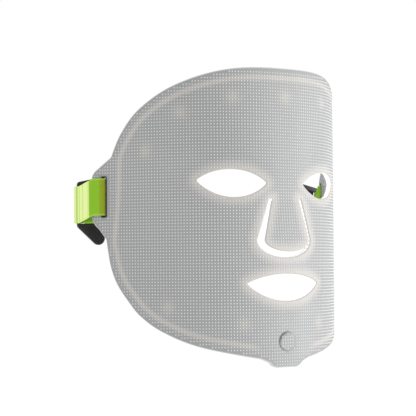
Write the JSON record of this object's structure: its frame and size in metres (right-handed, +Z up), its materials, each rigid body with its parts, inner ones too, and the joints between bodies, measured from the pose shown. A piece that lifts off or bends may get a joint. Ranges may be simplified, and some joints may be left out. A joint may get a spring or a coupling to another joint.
{
  "type": "led face mask",
  "caption": "Curved flexible silicone face mask holding inward light strips, with a hinged nose flap, chin button and inlet, and an elastic loop with a buckle at each side.",
  "frame": {"origin": "between the eyes on the inner face of the sheet, where it rests on the bridge of the wearer's nose", "axes": "+Z up, the outer face looks towards -Y, the wearer's left is +X"},
  "size_m": [0.2224, 0.1063, 0.2072],
  "materials": {
    "grey_silicone": "satin translucent moulded silicone with a fine dot grid",
    "clear_silicone": "milky translucent silicone",
    "led_board": "white solder mask with clear lights",
    "flex_ribbon": "amber film ribbon",
    "lime_elastic": "woven elastic webbing",
    "black_plastic": "moulded black plastic",
    "pod_plastic": "pale grey moulded plastic",
    "circuit_board": "green solder mask",
    "steel": "drawn steel shell",
    "chip_plastic": "black moulded resin"
  },
  "bodies": {
    "mask_sheet": {"outer_skin": "grey_silicone", "inner_liner": "clear_silicone", "led_strip_bridge": "led_board", "led_strip_brow_inner_left": "led_board", "led_strip_brow_inner_right": "led_board", "led_strip_brow_middle_left": "led_board", "led_strip_brow_middle_right": "led_board", "led_strip_brow_outer_left": "led_board", "led_strip_brow_outer_right": "led_board", "led_strip_temple_left": "led_board", "led_strip_temple_right": "led_board", "led_strip_side_left": "led_board", "led_strip_side_right": "led_board", "led_strip_side_rear_left": "led_board", "led_strip_side_rear_right": "led_board", "led_strip_ear_left": "led_board", "led_strip_ear_right": "led_board", "led_strip_nostril_left": "led_board", "led_strip_nostril_right": "led_board", "led_strip_cheek_inner_left": "led_board", "led_strip_cheek_inner_right": "led_board", "led_strip_cheek_outer_left": "led_board", "led_strip_cheek_outer_right": "led_board", "led_strip_chin_left": "led_board", "led_strip_chin_right": "led_board", "bus_ribbon_brow": "flex_ribbon", "bus_ribbon_cheek": "flex_ribbon", "feed_ribbon_chin": "flex_ribbon", "spacer_brow": "clear_silicone", "spacer_forehead_left": "clear_silicone", "spacer_forehead_right": "clear_silicone", "spacer_temple_left": "clear_silicone", "spacer_temple_right": "clear_silicone", "spacer_ear_left": "clear_silicone", "spacer_ear_right": "clear_silicone", "spacer_jaw_left": "clear_silicone", "spacer_jaw_right": "clear_silicone", "spacer_chin_left": "clear_silicone", "spacer_chin_right": "clear_silicone", "chin_pod": "pod_plastic", "control_board": "circuit_board", "driver_chip": "chip_plastic", "power_switch": "chip_plastic", "port_bezel": "black_plastic", "port_shell": "steel", "port_tongue": "chip_plastic", "slot_frame_left": "black_plastic", "slot_frame_right": "black_plastic"},
    "nose_flap_body": {"nose_flap": "grey_silicone", "nose_flap_liner": "clear_silicone", "nose_led_strip": "led_board"},
    "button_body": {"power_button": "grey_silicone"},
    "loop_left": {"strap_loop_left": "lime_elastic"},
    "loop_right": {"strap_loop_right": "lime_elastic"},
    "buckle_left": {"side_plate_left": "black_plastic"},
    "buckle_right": {"side_plate_right": "black_plastic"}
  },
  "joints": [
    {"name": "nose_flap_tilt", "type": "hinge", "parent": "mask_sheet", "child": "nose_flap_body", "pos_m": [0, -0.0042, -0.0117], "axis": [-1, 0, 0], "range_deg": [-5, 30], "stiffness_Nm_per_rad": 0.02},
    {"name": "button_press", "type": "slide", "parent": "mask_sheet", "child": "button_body", "axis": [0, 1, 0], "range_m": [0, 0.0008], "stiffness_N_per_m": 400},
    {"name": "loop_swing_left", "type": "hinge", "parent": "mask_sheet", "child": "loop_left", "pos_m": [0.09776, 0.07589, -0.0087], "axis": [0, 0, 1], "range_deg": [-3, 3], "stiffness_Nm_per_rad": 0.01},
    {"name": "loop_swing_right", "type": "hinge", "parent": "mask_sheet", "child": "loop_right", "pos_m": [-0.09776, 0.07589, -0.0087], "axis": [0, 0, -1], "range_deg": [-3, 3], "stiffness_Nm_per_rad": 0.01},
    {"name": "buckle_turn_left", "type": "hinge", "parent": "loop_left", "child": "buckle_left", "pos_m": [0.10807, 0.09569, -0.0137], "axis": [0, 0, -1], "range_deg": [0, 130]},
    {"name": "buckle_turn_right", "type": "hinge", "parent": "loop_right", "child": "buckle_right", "pos_m": [-0.10807, 0.09569, -0.0137], "axis": [0, 0, 1], "range_deg": [0, 130]}
  ]
}
